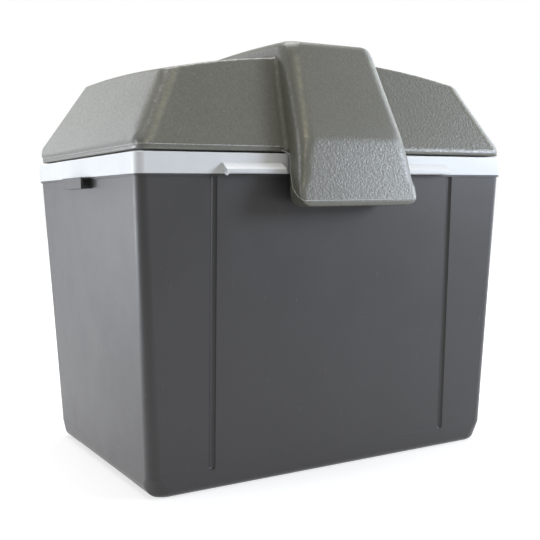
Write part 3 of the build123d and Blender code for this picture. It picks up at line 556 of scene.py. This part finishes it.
def make_materials():
    """One material for each material slot of the record, and one for the moulding flash."""
    white = colour(0.78, 0.79, 0.805)
    liner_white = tinted(white, 0.99)
    guard_white = tinted(white, 0.97)
    collar_grain = 0.03 * MM
    liner_grain = 0.04 * MM
    hinge_grey = colour(0.55, 0.55, 0.56)
    screw_grey = colour(0.52, 0.51, 0.49)
    spring_grey = colour(0.30, 0.31, 0.34)
    motor_grey = colour(0.50, 0.50, 0.51)
    aluminium = colour(0.74, 0.75, 0.76)
    seal_grey = colour(0.25, 0.25, 0.26)
    cable_black = colour(0.03, 0.03, 0.03)
    return {
        "body_plastic": body_plastic(),
        "lid_plastic": lid_plastic(),
        "flash_plastic": flash_plastic(),
        "collar_plastic": white_plastic("collar_plastic", white, collar_grain, roughness=0.34),
        "liner_plastic": white_plastic("liner_plastic", liner_white, liner_grain, roughness=0.38),
        "insulation": foam(),
        "seal_rubber": rubber("seal_rubber", seal_grey),
        "hinge_steel": metal("hinge_steel", hinge_grey, ALONG_X, roughness=0.34),
        "screw_steel": metal("screw_steel", screw_grey, ALONG_Z, roughness=0.36),
        "spring_steel": metal("spring_steel", spring_grey, ALONG_Z, roughness=0.32),
        "sink_aluminium": metal("sink_aluminium", aluminium, ALONG_Y, roughness=0.38),
        "tile_ceramic": ceramic(),
        "motor_steel": metal("motor_steel", motor_grey, ALONG_Z, roughness=0.3),
        "fan_plastic": black_plastic("fan_plastic"),
        "guard_plastic": white_plastic("guard_plastic", guard_white, collar_grain, roughness=0.36),
        "grille_plastic": black_plastic("grille_plastic"),
        "cable_rubber": rubber("cable_rubber", cable_black),
    }


# Meshes

def new_piece(name, mesh, material, body):
    """A visible piece with one material, which rides on a body of the part."""
    piece = bpy.data.objects.new(name, mesh)
    scene.collection.objects.link(piece)
    mesh.materials.clear()
    mesh.materials.append(material)
    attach(piece, body)
    return piece


def plain_mesh(node):
    """A clean copy of a CAD node's mesh: one vertex per corner and one face per flat side."""
    merge_distance = 0.002 * MM
    flat_angle = math.radians(0.2)
    source = bmesh.new()
    source.from_mesh(nodes[node].data)
    bmesh.ops.remove_doubles(source, verts=source.verts, dist=merge_distance)
    bmesh.ops.dissolve_limit(
        source, angle_limit=flat_angle, verts=source.verts, edges=source.edges
    )
    source.verts.index_update()
    corners = [v.co.copy() for v in source.verts]
    faces = [[v.index for v in f.verts] for f in source.faces]
    source.free()
    mesh = bpy.data.meshes.new(node + "_mesh")
    mesh.from_pydata(corners, [], faces)
    mesh.validate()
    mesh.update()
    return mesh


def apply_modifiers(piece, material):
    """Puts the piece's modifiers into its mesh, which keeps its one material."""
    bpy.context.view_layer.update()
    graph = bpy.context.evaluated_depsgraph_get()
    mesh = bpy.data.meshes.new_from_object(piece.evaluated_get(graph))
    piece.modifiers.clear()
    piece.data = mesh
    mesh.materials.clear()
    mesh.materials.append(material)


def smooth_faces(mesh):
    for face in mesh.polygons:
        face.use_smooth = True


def soft_edges(node, width, material):
    """The node's own form with its sharp edges rounded, standing in its place."""
    sharp_angle = math.radians(32)
    mesh = plain_mesh(node)
    piece = new_piece(node + "_finish", mesh, material, nodes[node]["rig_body"])
    smooth_faces(mesh)
    bevel = piece.modifiers.new("edges", "BEVEL")
    bevel.limit_method = "ANGLE"
    bevel.angle_limit = sharp_angle
    bevel.width = width
    bevel.segments = 2
    bevel.use_clamp_overlap = True
    even = piece.modifiers.new("normals", "WEIGHTED_NORMAL")
    even.keep_sharp = True
    apply_modifiers(piece, material)
    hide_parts(node)
    return piece


def read_places(mesh, kind="co"):
    """The mesh's points as rows of x, y and z, or their normals."""
    values = np.empty(len(mesh.vertices) * 3)
    mesh.vertices.foreach_get(kind, values)
    return values.reshape(-1, 3)


def read_ends(mesh):
    """The two points that each edge joins."""
    ends = np.empty(len(mesh.edges) * 2, dtype=np.int32)
    mesh.edges.foreach_get("vertices", ends)
    return ends.reshape(-1, 2)


def write_places(mesh, places):
    mesh.vertices.foreach_set("co", places.ravel())
    mesh.update()


def write_values(mesh, name, values):
    layer = mesh.attributes.new(name, "FLOAT", "POINT")
    layer.data.foreach_set("value", values.astype(np.float32))


def spread(places, ends, strength, rounds):
    """Moves each point towards its neighbours' mean, round by round, by a given strength."""
    first, second = ends.T
    degree = np.maximum(np.bincount(ends.ravel(), minlength=len(places)), 1)
    moved = places.copy()
    for _ in range(rounds):
        for axis in range(3):
            column = moved[:, axis]
            total = np.bincount(first, weights=column[second], minlength=len(places))
            total += np.bincount(second, weights=column[first], minlength=len(places))
            moved[:, axis] += strength * (total / degree - column)
    return moved


def distance_to(places, route):
    """How far each place is from the nearest of the route's straight runs."""
    nearest = np.full(len(places), np.inf)
    for start, end in zip(route, route[1:]):
        start = np.array(start)
        along = np.array(end) - start
        share = np.clip((places - start) @ along / (along @ along), 0.0, 1.0)
        away = np.linalg.norm(places - start - share[:, None] * along, axis=1)
        nearest = np.minimum(nearest, away)
    return nearest


def mark_edges(mesh, rounds):
    """Writes how far each point stands out of its blurred surroundings, in millimetres."""
    halfway = 0.5
    places = read_places(mesh)
    blurred = spread(places, read_ends(mesh), halfway, rounds)
    stand = ((places - blurred) * read_places(mesh, "normal")).sum(axis=1) / MM
    write_values(mesh, "edge_wear_and_shade", stand)


def round_line(mesh, route, reach, rounds):
    """Rounds the skin along a route, most at the route and not at all beyond its reach."""
    full_strength = 0.5
    fading = 1.6
    places = read_places(mesh)
    nearness = 1.0 - distance_to(places, route) / reach
    strength = full_strength * np.clip(fading * nearness, 0.0, 1.0)
    ends = read_ends(mesh)
    near = ends[(strength[ends] > 0).any(axis=1)]
    used, index = np.unique(near, return_inverse=True)
    places[used] = spread(places[used], index.reshape(-1, 2), strength[used], rounds)
    write_places(mesh, places)


def raise_line(mesh, route, height, width):
    """Lifts a soft line out of the skin along a route."""
    places = read_places(mesh)
    lift = height * np.exp(-((distance_to(places, route) / width) ** 2))
    places += read_places(mesh, "normal") * lift[:, None]
    write_places(mesh, places)


def mark_lines(mesh, name, routes, width):
    """Writes how near each point is to some lines, from 1 on a line to 0 away from them all."""
    places = read_places(mesh)
    nearest = np.min([distance_to(places, route) for route in routes], axis=0)
    write_values(mesh, name, np.exp(-((nearest / width) ** 2)))


def on_skin(piece, route):
    """The route's points moved to the nearest place on a piece."""
    surface = surface_of(piece)
    return [surface.find_nearest(point)[0] for point in route]


def moulded_lid(material):
    """The lid's shell as one dense skin with every edge drawn soft, as blow moulding leaves it."""
    skin_step = 1.45 * MM
    hump_reach = 15 * MM
    hump_rounds = 70
    corner_reach = 19 * MM
    corner_rounds = 120
    crease_reach = 9 * MM
    crease_rounds = 24
    panel_line_height = 0.40 * MM
    panel_line_width = 2.2 * MM
    wear_and_shade_rounds = 16
    highlight_line_width = 2.5 * MM
    shade_line_width = 4.5 * MM
    mesh = plain_mesh("lid_shell")
    piece = new_piece("lid_moulding", mesh, material, "lid")
    skin = piece.modifiers.new("skin", "REMESH")
    skin.mode = "VOXEL"
    skin.voxel_size = skin_step
    even = piece.modifiers.new("soft", "SMOOTH")
    even.factor = 0.5
    even.iterations = 4
    apply_modifiers(piece, material)
    smooth_faces(piece.data)
    hump_lines = []
    panel_lines = []
    for side in SIDES:
        round_line(piece.data, mirrored(hump_edge, side), hump_reach, hump_rounds)
        round_line(piece.data, corner_route(side), corner_reach, corner_rounds)
        hump_lines.append(on_skin(piece, mirrored(hump_highlight_line, side)))
        panel_lines.append(on_skin(piece, panel_edge_route(side)))
    round_line(piece.data, crease_route(), crease_reach, crease_rounds)
    for route in panel_lines:
        raise_line(piece.data, route, panel_line_height, panel_line_width)
    # This measure drives both rubbed wear on convex points and painted shade in hollows
    mark_edges(piece.data, wear_and_shade_rounds)
    # The lines along the hump's edges and the front panels' edges get a painted highlight
    mark_lines(piece.data, "highlight_line", hump_lines + panel_lines, highlight_line_width)
    # The inner corners beside the hump are marked for painted shade
    mark_lines(piece.data, "painted_shade_line", [junction_route(side) for side in SIDES], shade_line_width)
    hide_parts("lid_shell")
    return piece


def surface_of(piece):
    """The piece's surface, made ready for finding the nearest place on it."""
    graph = bpy.context.evaluated_depsgraph_get()
    return BVHTree.FromObject(piece, graph)


def points_along(route, step, closed):
    """Evenly spaced points on the route's straight runs, each run with its own even spacing."""
    corners = route + [route[0]] if closed else route
    points = []
    for start, end in zip(corners, corners[1:]):
        count = max(int((end - start).length / step), 1)
        points += [start.lerp(end, i / count) for i in range(count)]
    if not closed:
        points.append(corners[-1])
    return points


def ridge(name, route, surface, radius, material, body, seed, closed=False):
    """A rough raised line that follows the surface along the route."""
    chance = random.Random(seed)
    step = 1.6 * MM
    coarse_waves = 260.0
    fine_waves = 900.0
    least_size = 0.55
    rough_size = 0.9
    chance_size = 0.25
    sink = 0.35
    breadth = 1.1
    end_taper = 0.25
    sides = 6
    spine = []
    for point in points_along(route, step, closed):
        place, normal, _, _ = surface.find_nearest(point)
        rough = noise.noise(place * coarse_waves) * 0.5 + noise.noise(place * fine_waves) * 0.5
        size = radius * (least_size + rough_size * abs(rough) + chance_size * chance.random())
        spine.append((place, normal, size))
    count = len(spine)
    maker = bmesh.new()
    rings = []
    for index, (place, normal, size) in enumerate(spine):
        ahead = spine[(index + 1) % count][0] if closed or index < count - 1 else place
        behind = spine[index - 1][0] if closed or index > 0 else place
        along = (ahead - behind).normalized()
        across = along.cross(normal).normalized()
        centre = place - normal * size * sink
        from_end = min(index, count - 1 - index)
        taper = 1.0 if closed else min(1.0, end_taper + end_taper * from_end)
        ring = []
        for side in range(sides):
            angle = 2 * math.pi * side / sides
            offset = across * math.cos(angle) * breadth + normal * math.sin(angle)
            ring.append(maker.verts.new(centre + offset * size * taper))
        rings.append(ring)
    pairs = list(zip(rings, rings[1:]))
    if closed:
        pairs.append((rings[-1], rings[0]))
    for first, second in pairs:
        for side in range(sides):
            other = (side + 1) % sides
            maker.faces.new((first[side], first[other], second[other], second[side]))
    if not closed:
        maker.faces.new(rings[0][::-1])
        maker.faces.new(rings[-1])
    bmesh.ops.recalc_face_normals(maker, faces=maker.faces)
    return built_piece(name, maker, material, body)


def built_piece(name, maker, material, body):
    """A smooth piece from a mesh that was built face by face."""
    mesh = bpy.data.meshes.new(name)
    maker.to_mesh(mesh)
    maker.free()
    smooth_faces(mesh)
    return new_piece(name, mesh, material, body)


def rounded_route(half_x, low_y, high_y, corner, height):
    """Points round a rounded rectangle at one height, anticlockwise seen from above."""
    quarter = 90
    turn_step = 15
    centres = [
        (half_x - corner, low_y + corner, -quarter),
        (half_x - corner, high_y - corner, 0),
        (-half_x + corner, high_y - corner, quarter),
        (-half_x + corner, low_y + corner, 2 * quarter),
    ]
    points = []
    for x, y, start in centres:
        for turn in range(0, quarter + 1, turn_step):
            angle = math.radians(start + turn)
            across = x + corner * math.cos(angle)
            points.append(Vector((across, y + corner * math.sin(angle), height)))
    return points


def flap_route():
    """Down the flap's left wall, across its front and up its right wall."""
    left = [Vector((-flap_half_low, y, z)) for y, z in flap_side_line]
    front_half = flap_half_low - flap_front_inset
    front = [
        Vector((-front_half, flap_front_low, flap_seam_height)),
        Vector((front_half, flap_front_low, flap_seam_height + flap_seam_rise)),
    ]
    right = [Vector((flap_half_low, y, z)) for y, z in reversed(flap_side_line)]
    return left + front + right


def hem_route():
    """The line round the lid's band, broken where the flap hangs over it."""
    start = Vector((flap_gap_half, band_front, band_top))
    end = Vector((-flap_gap_half, band_front, band_top))
    around = rounded_route(lid_half_x, band_front, band_rear, band_corner, band_top)
    return [start] + around + [end]


def mirrored(route, side):
    """A route on the right side, kept for side 1 and mirrored to the left for side -1."""
    return [Vector((side * x, y, z)) for x, y, z in route]


def front_at(height):
    """How deep the leaning front face lies at a height."""
    return band_front + front_lean * (height - band_top)


def side_at(height):
    """How far the leaning side face is from the middle at a height."""
    return lid_half_x - side_lean * max(height - side_lean_start, 0.0)


def crease_route():
    """Across the hump, where its upper slope turns down into the flap."""
    half, depth, height = hump_edge[1]
    return [Vector((side * (half - crease_inset), depth, height)) for side in SIDES]


def junction_route(side):
    """Up the inner corner where the hump's side stands out of the front face."""
    top_half, _, top = hump_edge[0]
    crease_half, _, crease = hump_edge[1]
    points = []
    for height in (panel_edge_low, panel_edge_high):
        share = (height - crease) / (top - crease)
        half = crease_half + (top_half - crease_half) * share
        points.append(Vector((side * half, front_at(height), height)))
    return points


def corner_route(side):
    """Up the leaning side face, a fixed way back from the front face."""
    heights = (corner_low, corner_high)
    return [Vector((side * side_at(h), front_at(h) + corner_setback, h)) for h in heights]


def panel_edge_route(side):
    """Up the front face, a fixed way in from the leaning side face."""
    heights = (panel_edge_low, panel_edge_high)
    return [Vector((side * (side_at(h) - panel_edge_inset), front_at(h), h)) for h in heights]


def collar_nib(material):
    """A small torn tip of moulding waste under the left ledge's outer end."""
    left = -0.1312
    right = -0.1240
    rear = -0.1560
    front = -0.1594
    top = 0.2919
    tip_right = (-0.1276, -0.1590, 0.2889)
    tip_left = (-0.1284, -0.1580, 0.2889)
    softness = 0.25 * MM
    corners = [
        (left, rear, top), (right, rear, top), (right, front, top), (left, front, top),
        tip_right, tip_left,
    ]
    faces = [(0, 1, 2, 3), (0, 3, 5), (3, 4, 5), (3, 2, 4), (2, 1, 4), (1, 5, 4), (1, 0, 5)]
    maker = bmesh.new()
    points = [maker.verts.new(corner) for corner in corners]
    for face in faces:
        maker.faces.new([points[index] for index in face])
    bmesh.ops.recalc_face_normals(maker, faces=maker.faces)
    bmesh.ops.bevel(
        maker, geom=list(maker.edges), offset=softness, segments=2, profile=0.5, affect="EDGES"
    )
    return built_piece("collar_nib", maker, material, "tub")


# Light, floor and white background

# How white the surroundings are to the camera, and in a reflection
seen_white = 1.0
reflected_white = 0.78
plain_white = (1.0, 1.0, 1.0)


def aim(holder, place, target):
    """Puts a lamp at a place and turns it to face a target."""
    holder.location = place
    sight = Vector(target) - Vector(place)
    holder.rotation_euler = sight.to_track_quat("-Z", "Y").to_euler()


def panel(name, place, target, width, height, power, tint=plain_white):
    """A rectangular lamp with its size in metres and its power in watts."""
    lamp = bpy.data.lights.new(name, "AREA")
    lamp.shape = "RECTANGLE"
    lamp.size = width
    lamp.size_y = height
    lamp.energy = power
    lamp.color = tint
    holder = bpy.data.objects.new(name, lamp)
    scene.collection.objects.link(holder)
    aim(holder, place, target)


def background_level(tree, seen_level, reflected_level):
    """How white the surroundings are, seen straight on or through a clear piece, or reflected."""
    rays = tree.nodes.new("ShaderNodeLightPath")
    camera_ray = rays.outputs["Is Camera Ray"]
    clear_ray = rays.outputs["Is Transmission Ray"]
    seen = math_node(tree, "MAXIMUM", camera_ray, clear_ray)
    seen = math_node(tree, "MULTIPLY", seen, seen_level)
    reflected = math_node(tree, "MULTIPLY", rays.outputs["Is Glossy Ray"], reflected_level)
    return math_node(tree, "MAXIMUM", seen, reflected)


def make_world(strength):
    """White surroundings to the camera and in reflections, that light matt faces only faintly."""
    world = bpy.data.worlds.new("studio")
    scene.world = world
    world.use_nodes = True
    tree = world.node_tree
    tree.nodes.clear()
    output = tree.nodes.new("ShaderNodeOutputWorld")
    light = tree.nodes.new("ShaderNodeBackground")
    light.inputs["Color"].default_value = colour(*plain_white)
    shown = background_level(tree, seen_white, reflected_white)
    level = math_node(tree, "MAXIMUM", shown, strength)
    tree.links.new(level, light.inputs["Strength"])
    tree.links.new(light.outputs[0], output.inputs["Surface"])


def make_floor():
    """A wide pale floor that shows white in the open and keeps the shadow."""
    half = 6.0
    dark_tone = colour(0.46, 0.46, 0.46)
    pale_tone = colour(0.50, 0.50, 0.50)
    speckle_size = 4 * MM
    corners = [(-half, -half, 0), (half, -half, 0), (half, half, 0), (-half, half, 0)]
    mesh = bpy.data.meshes.new("floor")
    mesh.from_pydata(corners, [], [(0, 1, 2, 3)])
    floor = bpy.data.objects.new("floor", mesh)
    scene.collection.objects.link(floor)
    shader = Shader("floor")
    speckle = shader.noise(speckle_size, detail=2.0)
    shader.set("Base Color", shader.mix(speckle, dark_tone, pale_tone))
    shader.set("Roughness", 0.8)
    shader.set("Specular IOR Level", 0.2)
    shader.set("Emission Color", colour(*plain_white))
    glow = shader.span(shader.distance(), low=0.4, high=1.8, start=0.68, end=1.0)
    reflected = shader.span(shader.distance(), low=0.5, high=2.2, start=1.0, end=0.50)
    shader.set("Emission Strength", background_level(shader.tree, glow, reflected))
    mesh.materials.append(shader.material)


def make_light():
    """The lamps round the object and above it: place, target, width, height, watts and tint."""
    surroundings = 0.05
    middle = (0.0, 0.0, 0.22)
    cool = (0.89, 0.94, 1.0)
    cold = (0.80, 0.88, 1.0)
    warm = (1.0, 0.93, 0.72)
    make_world(surroundings)
    panel("panel_left", (-2.3, 0.1, 0.95), middle, 0.6, 0.8, power=13.0, tint=cool)
    panel("panel_left_low", (-1.9, 1.3, 0.15), middle, 1.8, 0.28, power=32.0, tint=cool)
    panel("panel_back", (-0.85, 2.2, 1.15), middle, 1.5, 1.1, power=5.0, tint=cool)
    panel("panel_front", (1.65, -1.36, 0.72), middle, 0.7, 0.6, power=33.0, tint=cold)
    panel("panel_front_high", (-0.5, -1.8, 1.6), middle, 0.30, 0.30, power=6.0, tint=warm)
    panel("panel_right", (2.3, 0.0, 1.0), middle, 2.2, 2.2, power=41.0, tint=cold)
    panel("panel_top", (0.1, 0.3, 2.4), middle, 1.8, 1.8, power=50.0)


# Putting it together

flap_flash_size = 0.50 * MM
hem_flash_size = 0.42 * MM
body_seam_size = 0.26 * MM

# How far each of these nodes has its sharp edges rounded
edge_widths = {
    "outer_shell": 0.7 * MM,
    "rim_collar": 0.4 * MM,
    "inner_liner": 0.6 * MM,
    "lid_pan": 0.6 * MM,
    "lid_gasket": 1.0 * MM,
    "fan_guard": 0.5 * MM,
    "vent_grille": 0.4 * MM,
    "power_inlet": 0.4 * MM,
    "hinge_body_leaves": 0.25 * MM,
    "hinge_lid_leaves": 0.25 * MM,
    "hinge_pins": 0.3 * MM,
    "latch_clip": 0.2 * MM,
    "cold_fan": 0.3 * MM,
    "hot_fan": 0.3 * MM,
}


def main():
    make_camera()
    materials = make_materials()
    slots = {s["node"]: s["material_slot"] for s in frame["record"]["subparts"]}
    for node, holder in nodes.items():
        holder.data.materials.clear()
        holder.data.materials.append(materials[slots[node]])
    pieces = {}
    for node, width in edge_widths.items():
        pieces[node] = soft_edges(node, width, materials[slots[node]])
    lid = moulded_lid(materials["lid_plastic"])
    bpy.context.view_layer.update()
    lid_surface = surface_of(lid)
    flash = materials["flash_plastic"]
    ridge("flap_flash", flap_route(), lid_surface, flap_flash_size, flash,
          body="lid", seed=3)
    ridge("hem_flash", hem_route(), lid_surface, hem_flash_size, flash,
          body="lid", seed=5)
    collar_nib(materials["collar_plastic"])
    shell_surface = surface_of(pieces["outer_shell"])
    seam = rounded_route(seam_half_x, -seam_half_y, seam_half_y, seam_corner, seam_height)
    ridge("body_seam", seam, shell_surface, body_seam_size, materials["body_plastic"],
          body="tub", seed=7, closed=True)
    make_floor()
    make_light()
    scene.view_settings.view_transform = "Standard"


main()
bpy.context.view_layer.update()
